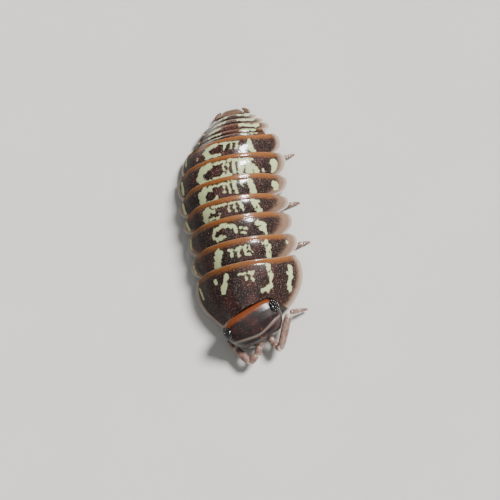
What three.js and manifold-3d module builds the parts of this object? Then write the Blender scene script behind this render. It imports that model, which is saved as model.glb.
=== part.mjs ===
// A patterned pill woodlouse, life size, walking with its head turned a little to its left.
// Millimetres. +X is towards the head, +Y is the animal's left, +Z is up, and the feet stand on z = 0.
import * as THREE from 'three';
import { mergeVertices } from 'three/addons/utils/BufferGeometryUtils.js';
import Module from 'manifold-3d';

const wasm = await Module();
wasm.setup();

// Driving dimensions of the trunk
const TIP_HEIGHT = 0.42;       // epimera's lower edge above the ground
const PLATE_GAP = 0.1;         // between one body segment and the next
const PLATE_STEP = 0.17;       // how far a plate's hind rim stands proud of the next plate
const TAIL_GAP = 0.07;         // the same between the small tail segments
const TAIL_STEP = 0.1;
const SOCKET_GAP = 0.08;       // round an eye, and between a limb and the trunk
const VAULT_RADIUS = 2.0;      // dorsal arc of the cross-section
const VAULT_ANGLE = 58;        // degrees of arc each side of the crest
const FLANK_LENGTH = 1.36;     // straight flank below the arc
const FLANK_SLOPE = 62;        // degrees from level

// Each hoop is the hind rim of one body segment: crest place and height, half width, backward lean in
// degrees, how far its side corners sweep back, and how much more the left one does than the right one. The
// tail bends to the left. The first hoop is where the head meets the first plate.
const HOOPS = [
  { name: 'neck', x: 4.70, y: 0, z: 2.30, w: 1.79, lean: 4, sweep: 0, skew: 0 },
  { name: 'pereonite_1', x: 3.00, y: 0, z: 2.60, w: 2.50, lean: 4, sweep: 0.12, skew: 0.14 },
  { name: 'pereonite_2', x: 1.92, y: 0, z: 2.72, w: 2.52, lean: 3, sweep: 0.04, skew: 0.16 },
  { name: 'pereonite_3', x: 0.85, y: 0, z: 2.76, w: 2.46, lean: 2, sweep: 0, skew: 0.1 },
  { name: 'pereonite_4', x: -0.06, y: -0.04, z: 2.74, w: 2.52, lean: 3, sweep: -0.1, skew: 0.12 },
  { name: 'pereonite_5', x: -1.02, y: 0.03, z: 2.64, w: 2.60, lean: 5, sweep: -0.08, skew: 0.14 },
  { name: 'pereonite_6', x: -2.05, y: 0.16, z: 2.40, w: 2.54, lean: 7, sweep: 0.05, skew: 0.1 },
  { name: 'pereonite_7', x: -2.92, y: 0.40, z: 2.00, w: 2.22, lean: 9, sweep: 0.2, skew: 0.06 },
  { name: 'pleonite_1', x: -3.11, y: 0.48, z: 1.84, w: 2.00, lean: 12, sweep: 0.2, skew: 0 },
  { name: 'pleonite_2', x: -3.33, y: 0.53, z: 1.68, w: 1.87, lean: 14, sweep: 0.17, skew: 0 },
  { name: 'pleonite_3', x: -3.64, y: 0.60, z: 1.46, w: 1.66, lean: 17, sweep: 0.26, skew: 0 },
  { name: 'pleonite_4', x: -3.93, y: 0.65, z: 1.20, w: 1.34, lean: 22, sweep: 0.26, skew: 0 },
  { name: 'pleonite_5', x: -4.2, y: 0.68, z: 0.96, w: 1.02, lean: 27, sweep: 0.2, skew: 0 },
];
const TRUNK_PLATES = 7;
// How far down the flank each kind of segment reaches at each of its rings, front to back
const LOBE = {
  broad: [0.8, 0.88, 0.97, 1, 1, 0.94, 0.84],
  round: [0.55, 0.64, 0.84, 0.97, 1, 0.94, 0.82],
  square: [0.72, 0.79, 0.93, 1, 1, 0.96, 0.88],
  none: [0.25, 0.25, 0.25, 0.25, 0.25, 0.25, 0.25],
};
// The first plate's front margin follows the turned head: share of half width, and reach past the neck hoop
const FRONT_MARGIN = [
  [-1, 0.66], [-0.8, 0.74], [-0.53, 0.6], [-0.14, 0.36], [0.22, 0.2], [0.45, 0.09], [0.62, 0.08], [0.81, 0.36], [1, 0.5],
];
const FIRST_PLATE_BULGE = 0.29; // how far the first plate's sides bow out between its two rims

// Section points across the outer face, on one side, as shares of the way from crest to tip
const ACROSS = [0, 0.09, 0.18, 0.27, 0.36, 0.45, 0.54, 0.63, 0.74, 0.87, 1];
const ALONG = [0, 0.06, 0.24, 0.5, 0.78, 0.94, 1];
const TAIL_RINGS = [0, 3, 6]; // the short tail segments need only these of them
// Under side from the tip inwards: shares of half width and of height
const UNDER = [[0.6, 0.4], [0.42, 0.31], [0.2, 0.25], [0, 0.235]];
const EPIMERON_THICK = 0.13;   // share of half width

const rad = THREE.MathUtils.degToRad;
const mix = THREE.MathUtils.lerp;
const smooth = THREE.MathUtils.smoothstep;
const HALF_ARC = VAULT_RADIUS * rad(VAULT_ANGLE);
const HALF_SPAN = VAULT_RADIUS * Math.sin(rad(VAULT_ANGLE)) + FLANK_LENGTH * Math.cos(rad(FLANK_SLOPE));
const ARC_DROP = VAULT_RADIUS * (1 - Math.cos(rad(VAULT_ANGLE)));
const FULL_DROP = ARC_DROP + FLANK_LENGTH * Math.sin(rad(FLANK_SLOPE));
const FLANK_START = HALF_ARC / (HALF_ARC + FLANK_LENGTH);

// Share of half width and of height at a share of the way from crest to tip; reach shortens the flank
function section(share, reach) {
  if (share <= FLANK_START) {
    const angle = (share / FLANK_START) * rad(VAULT_ANGLE);
    const drop = VAULT_RADIUS * (1 - Math.cos(angle));
    return [VAULT_RADIUS * Math.sin(angle) / HALF_SPAN, 1 - drop / FULL_DROP];
  }
  const run = ((share - FLANK_START) / (1 - FLANK_START)) * FLANK_LENGTH * reach;
  const y = VAULT_RADIUS * Math.sin(rad(VAULT_ANGLE)) + run * Math.cos(rad(FLANK_SLOPE));
  const drop = ARC_DROP + run * Math.sin(rad(FLANK_SLOPE));
  return [y / HALF_SPAN, 1 - drop / FULL_DROP];
}

function frontMargin(across) {
  const share = THREE.MathUtils.clamp(across, -1, 1);
  const next = Math.max(FRONT_MARGIN.findIndex(([place]) => place >= share), 1);
  const [[a, low], [b, high]] = [FRONT_MARGIN[next - 1], FRONT_MARGIN[next]];
  return mix(low, high, (share - a) / (b - a));
}

// A point of a hoop from its shares of half width and height
function hoopPoint(hoop, across, up) {
  const lean = rad(hoop.lean);
  const tall = (hoop.z - TIP_HEIGHT) / Math.cos(lean);
  const fall = (1 - up) * tall;
  const corner = hoop.sweep + Math.sign(across) * hoop.skew;
  const sweep = corner * smooth(Math.abs(across), 0.55, 1) * (1 - 0.4 * up);
  return new THREE.Vector3(
    hoop.x + fall * Math.sin(lean) - sweep + hoop.forward * frontMargin(across),
    hoop.y + across * hoop.w,
    hoop.z - fall * Math.cos(lean),
  );
}

function closedMesh(points, faces) {
  const geometry = new THREE.BufferGeometry();
  geometry.setAttribute('position', new THREE.Float32BufferAttribute(points.flatMap((p) => [p.x, p.y, p.z]), 3));
  geometry.setIndex(faces.flat());
  return geometry;
}

// Joins equal rings of points into one closed body, with flat ends
function loft(rings, flatAxes = ['y', 'z']) {
  const count = rings[0].length;
  const faces = [];
  for (let r = 0; r + 1 < rings.length; r++) {
    for (let i = 0; i < count; i++) {
      const a = r * count + i;
      const b = r * count + (i + 1) % count;
      faces.push([a, b, a + count], [b, b + count, a + count]);
    }
  }
  const flat = rings[0].map((p) => new THREE.Vector2(p[flatAxes[0]], p[flatAxes[1]]));
  const cap = THREE.ShapeUtils.triangulateShape(flat, []);
  const last = (rings.length - 1) * count;
  const flip = THREE.ShapeUtils.isClockWise(flat);
  for (const [a, b, c] of cap) {
    faces.push(flip ? [a, b, c] : [a, c, b], flip ? [last + a, last + c, last + b] : [last + a, last + b, last + c]);
  }
  return outward(closedMesh(rings.flat(), faces));
}

function volume(geometry) {
  const position = geometry.attributes.position;
  const index = geometry.index.array;
  const [a, b, c] = [new THREE.Vector3(), new THREE.Vector3(), new THREE.Vector3()];
  let total = 0;
  for (let i = 0; i < index.length; i += 3) {
    a.fromBufferAttribute(position, index[i]);
    b.fromBufferAttribute(position, index[i + 1]);
    c.fromBufferAttribute(position, index[i + 2]);
    total += a.dot(b.cross(c)) / 6;
  }
  return total;
}

function outward(geometry) {
  if (volume(geometry) < 0) {
    const index = geometry.index.array;
    for (let i = 0; i < index.length; i += 3) {
      [index[i + 1], index[i + 2]] = [index[i + 2], index[i + 1]];
    }
  }
  return geometry;
}

function solid(geometry) {
  const plain = geometry.clone();
  plain.deleteAttribute('normal');
  plain.deleteAttribute('uv');
  const merged = mergeVertices(plain, 1e-4);
  return new wasm.Manifold(new wasm.Mesh({
    numProp: 3,
    vertProperties: new Float32Array(merged.attributes.position.array),
    triVerts: new Uint32Array(merged.index.array),
  }));
}

// The largest body of a cut or joined solid, as a geometry
function largest(body) {
  const pieces = body.decompose().sort((a, b) => b.volume() - a.volume());
  const mesh = pieces[0].getMesh();
  const geometry = new THREE.BufferGeometry();
  geometry.setAttribute('position', new THREE.Float32BufferAttribute(Array.from(mesh.vertProperties), 3));
  geometry.setIndex(Array.from(mesh.triVerts));
  return geometry;
}

// One ring of a segment: over the back from right tip to left tip, then along the under side
function segmentRing(hoop, reach) {
  const outer = ACROSS.map((share) => section(share, reach));
  const [tipY, tipUp] = outer[outer.length - 1];
  const inner = [[tipY - EPIMERON_THICK, Math.min(tipUp + 0.015, 0.38)], ...UNDER];
  const left = [...outer, ...inner];
  const right = left.slice(1, -1).reverse().map(([y, up]) => [-y, up]);
  return [...left, ...right].map(([y, up]) => hoopPoint(hoop, y, up));
}

function blendHoops(number, t) {
  const [front, back] = [HOOPS[number - 1], HOOPS[number]];
  const tail = number > TRUNK_PLATES;
  const inset = (tail ? TAIL_STEP : PLATE_STEP) * (1 - smooth(t, -0.3, 0.8));
  const mixed = {};
  for (const key of ['x', 'y', 'z', 'w', 'lean', 'sweep', 'skew']) {
    mixed[key] = mix(front[key], back[key], t);
  }
  mixed.x = mix(front.x - (tail ? TAIL_GAP : PLATE_GAP), back.x, t);
  mixed.z -= inset;
  mixed.w -= inset - (number === 1 ? FIRST_PLATE_BULGE * Math.sin(Math.PI * t) : 0);
  mixed.forward = number === 1 ? 1 - t : 0;
  return mixed;
}

function segment(number, lobe) {
  const rings = ALONG.map((t, ring) => segmentRing(blendHoops(number, t), lobe[ring]));
  return loft(number > TRUNK_PLATES ? rings.filter((_, ring) => TAIL_RINGS.includes(ring)) : rings);
}

// A tube through points with a radius at each, closed by flat ends. Its rings start from the level direction
// across the path, or from a given one, and its last end faces endNormal if that is given
function limb(points, radii, sides, { endNormal, across } = {}) {
  const rings = points.map((point, i) => {
    const before = points[Math.max(i - 1, 0)];
    const after = points[Math.min(i + 1, points.length - 1)];
    const last = i === points.length - 1;
    const along = last && endNormal ? endNormal : after.clone().sub(before).normalize();
    const start = across ?? new THREE.Vector3(0, 0, 1).cross(after.clone().sub(before));
    const level = start.clone().addScaledVector(along, -start.dot(along)).normalize();
    const up = along.clone().cross(level).normalize();
    return Array.from({ length: sides }, (_, k) => {
      const angle = (k / sides) * 2 * Math.PI;
      return point.clone()
        .addScaledVector(level, Math.cos(angle) * radii[i])
        .addScaledVector(up, Math.sin(angle) * radii[i]);
    });
  });
  const faces = [];
  for (let r = 0; r + 1 < rings.length; r++) {
    for (let k = 0; k < sides; k++) {
      const a = r * sides + k;
      const b = r * sides + (k + 1) % sides;
      faces.push([a, b, a + sides], [b, b + sides, a + sides]);
    }
  }
  const last = (rings.length - 1) * sides;
  for (let k = 1; k + 1 < sides; k++) {
    faces.push([0, k + 1, k], [last, last + k, last + k + 1]);
  }
  return outward(closedMesh(rings.flat(), faces));
}

const vec = (x, y, z) => new THREE.Vector3(x, y, z);

function material(color, roughness) {
  return new THREE.MeshStandardMaterial({ color, roughness, metalness: 0 });
}

const LOOKS = {
  plate: material(0x3a211b, 0.35),
  head: material(0x33201c, 0.4),
  eye: material(0x0b0908, 0.2),
  limb: material(0x9c7f72, 0.5),
  pleopod: material(0xcfc3b2, 0.6),
};

const woodlouse = new THREE.Group();

function place(name, geometry, look) {
  const mesh = new THREE.Mesh(geometry, look);
  mesh.name = name;
  woodlouse.add(mesh);
  return mesh;
}

// Body segments
const trunk = {};
for (let number = 1; number < HOOPS.length; number++) {
  const name = HOOPS[number].name;
  let lobe = LOBE.square;
  if (number === 1) {
    lobe = LOBE.broad;
  } else if (number < 6) {
    lobe = LOBE.round;
  } else if (number === 8 || number === 9) {
    lobe = LOBE.none;
  }
  trunk[number] = segment(number, lobe);
}

// Telson: a small trapezoid that closes the tail, steeper than the plates before it
const TELSON_LENGTH = 0.3;
const TELSON_THICK = 0.36;
const TELSON_SLOPE = 0.16;
// One side of its section: share of half width, and drop below its top
const TELSON_SIDE = [[0.45, -0.05], [0.85, -0.17], [1, -0.3], [0.85, -TELSON_THICK]];
const lastHoop = HOOPS[HOOPS.length - 1];
const telsonRing = (t) => {
  const half = mix(0.62, 0.34, t);
  const x = lastHoop.x - TAIL_GAP - TELSON_LENGTH * t;
  const top = mix(0.84, 0.56, t);
  const thick = mix(TELSON_THICK, 0.22, t);
  const right = TELSON_SIDE.map(([y, down]) => [-y, down]).reverse();
  return [[0, 0], ...TELSON_SIDE, [0, -TELSON_THICK], ...right].map(([y, down]) => (
    vec(x + TELSON_SLOPE * (1 + down / TELSON_THICK), lastHoop.y + y * half, top + down * thick / TELSON_THICK)
  ));
};
const telson = loft([0, 0.35, 0.7, 1].map(telsonRing));

// Uropods: a flat plate each side of the telson, drawn from the last segment's crest and from its middle
const UROPOD = [[0, 0.66], [0.02, 0.84], [-0.1, 0.83], [-0.2, 0.74], [-0.28, 0.6], [-0.27, 0.5], [-0.14, 0.57]];
const uropod = (side) => {
  const layer = (lift) => UROPOD.map(([dx, y]) => (
    vec(lastHoop.x - 0.1 + dx, lastHoop.y + side * y, 0.44 + dx * 0.35 + lift)
  ));
  return loft([layer(-0.12), layer(0.1)], ['x', 'y']);
};

// Head: built facing +X about the neck, then turned to the left
const HEAD_TURN = 19;
const HEAD_NECK = vec(5.02, -0.28, 0);
// Each row: forward place, half width, top, bottom
const HEAD_ROWS = [
  [0, 1.16, 2.12, 0.9],
  [0.22, 1.34, 2.18, 0.78],
  [0.5, 1.4, 2.14, 0.68],
  [0.85, 1.35, 2.02, 0.6],
  [1.15, 1.18, 1.84, 0.56],
  [1.36, 0.98, 1.68, 0.56],
  [1.48, 0.74, 1.54, 0.66],
  [1.5, 0.52, 1.3, 0.8],
];
const HEAD_SIDES = 24;
const headTurn = (geometry) => geometry.clone().rotateZ(rad(HEAD_TURN)).translate(HEAD_NECK.x, HEAD_NECK.y, HEAD_NECK.z);
function headRing([x, half, top, bottom]) {
  return Array.from({ length: HEAD_SIDES }, (_, k) => {
    const angle = (k / HEAD_SIDES) * 2 * Math.PI;
    const square = (value, power) => Math.sign(value) * Math.abs(value) ** power;
    const y = half * square(Math.cos(angle), 0.8);
    const z = mix(bottom, top, 0.5 + 0.5 * square(Math.sin(angle), 0.8));
    return vec(x, y, z);
  });
}
const headBlock = loft(HEAD_ROWS.map(headRing));
const EYE_PLACE = vec(0.48, 1.2, 1.8);
const EYE_RADII = [0.3, 0.17, 0.27];
function eyeball(side, grow) {
  const ball = new THREE.SphereGeometry(1, 16, 10);
  ball.scale(EYE_RADII[0] + grow, EYE_RADII[1] + grow, EYE_RADII[2] + grow);
  ball.rotateX(side * 0.6).translate(EYE_PLACE.x, side * EYE_PLACE.y, EYE_PLACE.z);
  return ball;
}

// Antennae: points in the part's own frame, from in front of the head outwards; each folds back on itself
const ANTENNA_RADII = [0.2, 0.2, 0.19, 0.19, 0.18, 0.17];
const FLAGELLUM_RADII = [0.13, 0.12, 0.11, 0.08];
const ANTENNAE = {
  left: {
    peduncle: [vec(6.38, 0.5, 0.8), vec(6.64, 0.6, 0.8), vec(6.94, 0.78, 0.9), vec(6.7, 1.06, 1.1),
      vec(6.0, 1.34, 1.1), vec(5.44, 1.56, 1.02)],
    flagellum: [vec(5.37, 1.68, 0.92), vec(5.34, 1.92, 0.7), vec(5.32, 2.16, 0.48), vec(5.3, 2.38, 0.26)],
  },
  right: {
    peduncle: [vec(6.42, 0.02, 0.92), vec(6.7, -0.1, 0.88), vec(7.02, -0.32, 0.84), vec(7.26, -0.66, 0.8),
      vec(6.98, -0.94, 0.76), vec(6.5, -1.2, 0.7)],
    flagellum: [vec(6.4, -1.28, 0.62), vec(6.22, -1.4, 0.48), vec(6.06, -1.5, 0.34), vec(5.94, -1.58, 0.2)],
  },
};

// Legs: each goes down from the groove beside the belly, then out under the side lobes to a flat foot
const FOOT_RADIUS = 0.15;
const LEG_RADII = [0.24, 0.25, 0.24, 0.2, 0.16, FOOT_RADIUS];
const LEG_SIDES = 8;
// Forward reach of each foot from its own root, and how far out it stands in half widths
const LEG_REACH = [
  { left: [0.62, 0.84], right: [0.4, 0.8] },
  { left: [-0.23, 1.22], right: [0.55, 0.8] },
  { left: [0.34, 0.84], right: [0.1, 0.84] },
  { left: [-0.06, 1.19], right: [0.1, 0.8] },
  { left: [-0.3, 0.84], right: [-0.1, 0.84] },
  { left: [-0.42, 1.18], right: [-0.4, 0.8] },
  { left: [-0.45, 0.84], right: [-0.3, 0.8] },
];
function leg(number, side, [reach, out]) {
  const hoop = HOOPS[number];
  const root = mix(HOOPS[number - 1].x, hoop.x, number === 1 ? 0.66 : 0.5);
  const ceiling = TIP_HEIGHT + 0.4 * (hoop.z - TIP_HEIGHT);
  const y = (share) => hoop.y + side * share * hoop.w;
  const path = [
    vec(root, y(0.53), ceiling - 0.34),
    vec(root + 0.1 * reach, y(0.48), mix(ceiling - 0.34, 0.45, 0.55)),
    vec(root + 0.3 * reach, y(0.54), 0.42),
    vec(root + 0.6 * reach, y(mix(0.54, out, 0.4)), 0.24),
    vec(root + 0.85 * reach, y(mix(0.54, out, 0.8)), 0.17),
    vec(root + reach, y(out), 0),
  ];
  return limb(path, LEG_RADII, LEG_SIDES, { endNormal: vec(0, 0, -1), across: vec(1, 0, 0) });
}

// Pleopods: flat plates in pairs under the tail
function pleopods(number) {
  const hoop = HOOPS[TRUNK_PLATES + number];
  const belly = TIP_HEIGHT + 0.235 * (hoop.z - TIP_HEIGHT);
  const half = 0.5 * hoop.w;
  const x = hoop.x + 0.32 - 0.05 * number;
  const outline = [[0.1, -1], [0.1, 1], [-0.05, 0.95], [-0.14, 0.5], [-0.08, 0], [-0.14, -0.5], [-0.05, -0.95]];
  const layer = (lift) => outline.map(([dx, y]) => vec(x + dx, hoop.y + y * half, belly + lift));
  return loft([layer(-0.34), layer(-0.1 - 0.04 * number)], ['x', 'y']);
}

// Mouthparts: a blunt cone under the head
const mouth = limb([vec(0.86, 0, 0.62), vec(0.8, 0, 0.42), vec(0.72, 0, 0.26)], [0.52, 0.44, 0.26], 12);

const headBody = headTurn(headBlock);
const headKeepOut = [trunk[1]].flatMap((plate) => [
  plate.clone().translate(PLATE_GAP, 0, 0),
  plate.clone().translate(0, PLATE_GAP, 0),
  plate.clone().translate(0, -PLATE_GAP, 0),
  plate.clone().translate(0, 0, -PLATE_GAP),
]);
let headSolid = solid(headBody);
for (const keep of headKeepOut) {
  headSolid = headSolid.subtract(solid(keep));
}
for (const side of [1, -1]) {
  headSolid = headSolid.subtract(solid(headTurn(eyeball(side, SOCKET_GAP))));
}
place('head', largest(headSolid), LOOKS.head);
for (const [name, side] of [['eye_left', 1], ['eye_right', -1]]) {
  let ball = solid(headTurn(eyeball(side, 0)));
  for (const keep of headKeepOut) {
    ball = ball.subtract(solid(keep));
  }
  place(name, largest(ball), LOOKS.eye);
}
const headCopies = [vec(0, 0, -SOCKET_GAP), vec(SOCKET_GAP, 0, 0), vec(0, SOCKET_GAP, 0), vec(0, -SOCKET_GAP, 0)]
  .map((shift) => solid(headBody.clone().translate(shift.x, shift.y, shift.z)));
function clearOfHead(geometry) {
  return largest(headCopies.reduce((body, copy) => body.subtract(copy), solid(geometry)));
}
const mouthBody = headTurn(mouth);
place('mouthparts', clearOfHead(mouthBody), LOOKS.head);
for (const [side, parts] of Object.entries(ANTENNAE)) {
  const stem = solid(limb(parts.peduncle, ANTENNA_RADII, 9));
  let clear = headCopies.reduce((body, copy) => body.subtract(copy), stem);
  for (const shift of [[SOCKET_GAP, 0, 0], [0, 0, SOCKET_GAP], [0, SOCKET_GAP, 0], [0, -SOCKET_GAP, 0]]) {
    clear = clear.subtract(solid(mouthBody.clone().translate(...shift)));
  }
  place(`antenna_${side}_peduncle`, largest(clear), LOOKS.limb);
  place(`antenna_${side}_flagellum`, limb(parts.flagellum, FLAGELLUM_RADII, 8), LOOKS.limb);
}
for (const [number, plate] of Object.entries(trunk)) {
  place(HOOPS[number].name, plate, LOOKS.plate);
}
place('telson', telson, LOOKS.plate);
place('uropod_left', uropod(1), LOOKS.plate);
place('uropod_right', uropod(-1), LOOKS.plate);
for (let number = 1; number <= TRUNK_PLATES; number++) {
  const reach = LEG_REACH[number - 1];
  place(`leg_left_${number}`, leg(number, 1, reach.left), LOOKS.limb);
  place(`leg_right_${number}`, leg(number, -1, reach.right), LOOKS.limb);
}
for (let number = 1; number <= 5; number++) {
  place(`pleopods_${number}`, pleopods(number), LOOKS.pleopod);
}

// The origin goes to the middle of the floor area
const box = new THREE.Box3().setFromObject(woodlouse);
for (const mesh of woodlouse.children) {
  mesh.position.set(-(box.min.x + box.max.x) / 2, -(box.min.y + box.max.y) / 2, 0);
}

export default woodlouse;
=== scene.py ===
"""A patterned pill woodlouse, life size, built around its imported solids.

Lengths in the tables are millimetres; +X is towards the head, +Y the animal's left, +Z up.
"""

import math

import bpy
import numpy as np
from mathutils import Matrix, Vector


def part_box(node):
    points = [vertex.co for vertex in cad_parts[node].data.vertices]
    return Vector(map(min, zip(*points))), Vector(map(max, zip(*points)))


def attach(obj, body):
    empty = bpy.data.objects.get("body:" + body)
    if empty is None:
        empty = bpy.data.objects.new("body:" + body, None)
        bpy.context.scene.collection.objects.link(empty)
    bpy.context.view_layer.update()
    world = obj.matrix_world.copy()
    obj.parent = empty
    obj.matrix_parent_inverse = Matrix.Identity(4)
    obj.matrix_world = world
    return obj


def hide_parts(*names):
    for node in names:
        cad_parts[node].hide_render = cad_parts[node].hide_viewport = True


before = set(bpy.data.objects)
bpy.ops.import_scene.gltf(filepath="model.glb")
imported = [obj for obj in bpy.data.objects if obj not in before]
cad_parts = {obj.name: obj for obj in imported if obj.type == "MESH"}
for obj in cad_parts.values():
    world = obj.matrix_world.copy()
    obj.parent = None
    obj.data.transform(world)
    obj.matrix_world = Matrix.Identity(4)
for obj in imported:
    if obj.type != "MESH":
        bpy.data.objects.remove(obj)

bl_info = {
    "name": "Pill woodlouse",
    "version": (1, 0, 0),
    "blender": (4, 5, 0),
    "location": "3D View > Sidebar > Woodlouse",
    "description": "Builds a life-size patterned pill woodlouse around its packed solids",
    "category": "Add Mesh",
}

MM = 0.001

# Hind rim of each body segment: crest x, y, z, half width, backward lean in degrees, how far the side
# corners sweep back, and how much more the left one does than the right one
HOOPS = {
    "neck": (4.70, 0, 2.30, 1.79, 4, 0, 0),
    "pereonite_1": (3.00, 0, 2.60, 2.50, 4, 0.12, 0.14),
    "pereonite_2": (1.92, 0, 2.72, 2.52, 3, 0.04, 0.16),
    "pereonite_3": (0.85, 0, 2.76, 2.46, 2, 0, 0.1),
    "pereonite_4": (-0.06, -0.04, 2.74, 2.52, 3, -0.1, 0.12),
    "pereonite_5": (-1.02, 0.03, 2.64, 2.60, 5, -0.08, 0.14),
    "pereonite_6": (-2.05, 0.16, 2.40, 2.54, 7, 0.05, 0.1),
    "pereonite_7": (-2.92, 0.40, 2.00, 2.22, 9, 0.2, 0.06),
    "pleonite_1": (-3.11, 0.48, 1.84, 2.00, 12, 0.2, 0),
    "pleonite_2": (-3.33, 0.53, 1.68, 1.87, 14, 0.17, 0),
    "pleonite_3": (-3.64, 0.60, 1.46, 1.66, 17, 0.26, 0),
    "pleonite_4": (-3.93, 0.65, 1.20, 1.34, 22, 0.26, 0),
    "pleonite_5": (-4.2, 0.68, 0.96, 1.02, 27, 0.2, 0),
}
NAMES = list(HOOPS)
TRUNK_PLATES = 7
TIP_HEIGHT = 0.42
# Each plate starts this far behind the rim before it and this much below it; the tail's are closer
PLATE_GAP = 0.1
PLATE_STEP = 0.17
TAIL_GAP = 0.07
TAIL_STEP = 0.1
FIRST_PLATE_BULGE = 0.29
# The first plate's front margin follows the turned head: share of half width, and reach past the neck
FRONT_MARGIN = (
    (-1, 0.66), (-0.8, 0.74), (-0.53, 0.6), (-0.14, 0.36), (0.22, 0.2), (0.45, 0.09), (0.62, 0.08),
    (0.81, 0.36), (1, 0.5),
)
# A hoop's section is a round vault with a straight flank on each side
VAULT_RADIUS = 2.0
VAULT_ANGLE = math.radians(58)
FLANK_LENGTH = 1.36
FLANK_SLOPE = math.radians(62)
HALF_ARC = VAULT_RADIUS * VAULT_ANGLE
HALF_SPAN = VAULT_RADIUS * math.sin(VAULT_ANGLE) + FLANK_LENGTH * math.cos(FLANK_SLOPE)
ARC_DROP = VAULT_RADIUS * (1 - math.cos(VAULT_ANGLE))
FULL_DROP = ARC_DROP + FLANK_LENGTH * math.sin(FLANK_SLOPE)
FLANK_START = HALF_ARC / (HALF_ARC + FLANK_LENGTH)
# How far down the flank each kind of plate reaches, at these shares of the way to its hind rim
LOBE_STOPS = (0, 0.06, 0.24, 0.5, 0.78, 0.94, 1)
LOBES = {
    "broad": (0.8, 0.88, 0.97, 1, 1, 0.94, 0.84),
    "round": (0.55, 0.64, 0.84, 0.97, 1, 0.94, 0.82),
    "square": (0.72, 0.79, 0.93, 1, 1, 0.96, 0.88),
    "none": (0.25, 0.25, 0.25, 0.25, 0.25, 0.25, 0.25),
}

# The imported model's origin, from the third plate's own box
_low, _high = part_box("pereonite_3")
SHIFT = np.array([_low.x / MM - HOOPS["pereonite_3"][0], (_low.y + _high.y) / 2 / MM, 0.0])


def smooth(x, low, high):
    t = np.clip((np.asarray(x, float) - low) / (high - low), 0, 1)
    return t * t * (3 - 2 * t)


def flowing(x, stops, values):
    """A smooth curve through the values at the stops, carried on straight past both ends."""
    stops, values = np.array(stops, float), np.array(values, float)
    slopes = np.gradient(values, stops)
    i = np.clip(np.searchsorted(stops, x) - 1, 0, len(stops) - 2)
    gap = stops[i + 1] - stops[i]
    t = np.clip((x - stops[i]) / gap, 0, 1)
    bend = (2 * t ** 3 - 3 * t ** 2 + 1) * values[i] + (t ** 3 - 2 * t ** 2 + t) * gap * slopes[i]
    bend = bend + (3 * t ** 2 - 2 * t ** 3) * values[i + 1] + (t ** 3 - t ** 2) * gap * slopes[i + 1]
    return bend + slopes[-1] * np.maximum(x - stops[-1], 0) + slopes[0] * np.minimum(x - stops[0], 0)


def lobe_of(number):
    if number == 1:
        return LOBES["broad"]
    if number < 6:
        return LOBES["round"]
    return LOBES["none"] if number in (8, 9) else LOBES["square"]


def section(share, reach):
    """Shares of half width and of height, at a share of the way from crest (0) to side tip (1 or -1)."""
    away = np.abs(share)
    angle = np.minimum(away / FLANK_START, 1) * VAULT_ANGLE
    run = np.clip((away - FLANK_START) / (1 - FLANK_START), 0, None) * FLANK_LENGTH * reach
    y = VAULT_RADIUS * np.sin(angle) + run * math.cos(FLANK_SLOPE)
    drop = VAULT_RADIUS * (1 - np.cos(angle)) + run * math.sin(FLANK_SLOPE)
    return np.sign(share) * y / HALF_SPAN, 1 - drop / FULL_DROP


def hoop_at(number, t):
    """The hoop at t along a segment, 0 at its front and 1 at its hind rim, with its forward side lobe."""
    front, back = np.array(HOOPS[NAMES[number - 1]], float), np.array(HOOPS[NAMES[number]], float)
    tail = number > TRUNK_PLATES
    front[0] -= TAIL_GAP if tail else PLATE_GAP
    hoop = front + (back - front) * t
    inset = (TAIL_STEP if tail else PLATE_STEP) * (1 - float(smooth(t, -0.3, 0.8)))
    hoop[2] -= inset
    hoop[3] -= inset
    if number == 1:
        hoop[3] += FIRST_PLATE_BULGE * math.sin(math.pi * min(t, 1))
    return hoop, 1 - t if number == 1 else 0


def hoop_points(number, t, across, up):
    (x, y, z, half, lean, sweep, skew), forward = hoop_at(number, t)
    lean = math.radians(lean)
    fall = (1 - up) * (z - TIP_HEIGHT) / math.cos(lean)
    swept = (sweep + np.sign(across) * skew) * smooth(np.abs(across), 0.55, 1) * (1 - 0.4 * up)
    if forward:
        swept = swept - forward * flowing(np.clip(across, -1, 1), *zip(*FRONT_MARGIN))
    points = [x + fall * math.sin(lean) - swept, y + across * half, z - fall * math.cos(lean)]
    return np.stack(points, -1) + SHIFT


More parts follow.
